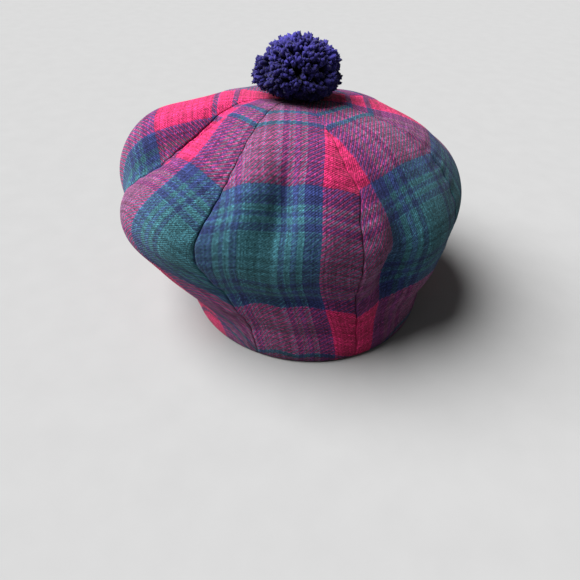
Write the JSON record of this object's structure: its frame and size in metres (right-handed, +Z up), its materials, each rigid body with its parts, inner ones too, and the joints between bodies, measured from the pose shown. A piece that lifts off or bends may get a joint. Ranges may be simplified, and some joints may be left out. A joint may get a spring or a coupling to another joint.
{
  "type": "tartan tam o'shanter with pompom",
  "caption": "Soft round tam o'shanter sewn from tapered tartan wool gores, full crown gathered to a head-sized hem, with a yarn pompom at the apex.",
  "frame": {"origin": "under the middle of the whole hat, on the plane of the hem that it rests on", "axes": "+Z up from the hem to the pompom, -Y the side that the picture shows, +X to the right in the picture"},
  "size_m": [0.2546, 0.241, 0.1892],
  "materials": {
    "tartan_wool": "brushed wool twill in crimson, green and navy tartan",
    "pompom_yarn": "matte cut wool yarn"
  },
  "bodies": {
    "root": {"gore_1": "tartan_wool", "gore_2": "tartan_wool", "gore_3": "tartan_wool", "gore_4": "tartan_wool", "gore_5": "tartan_wool", "gore_6": "tartan_wool", "gore_7": "tartan_wool", "gore_8": "tartan_wool", "pompom": "pompom_yarn"}
  },
  "joints": []
}
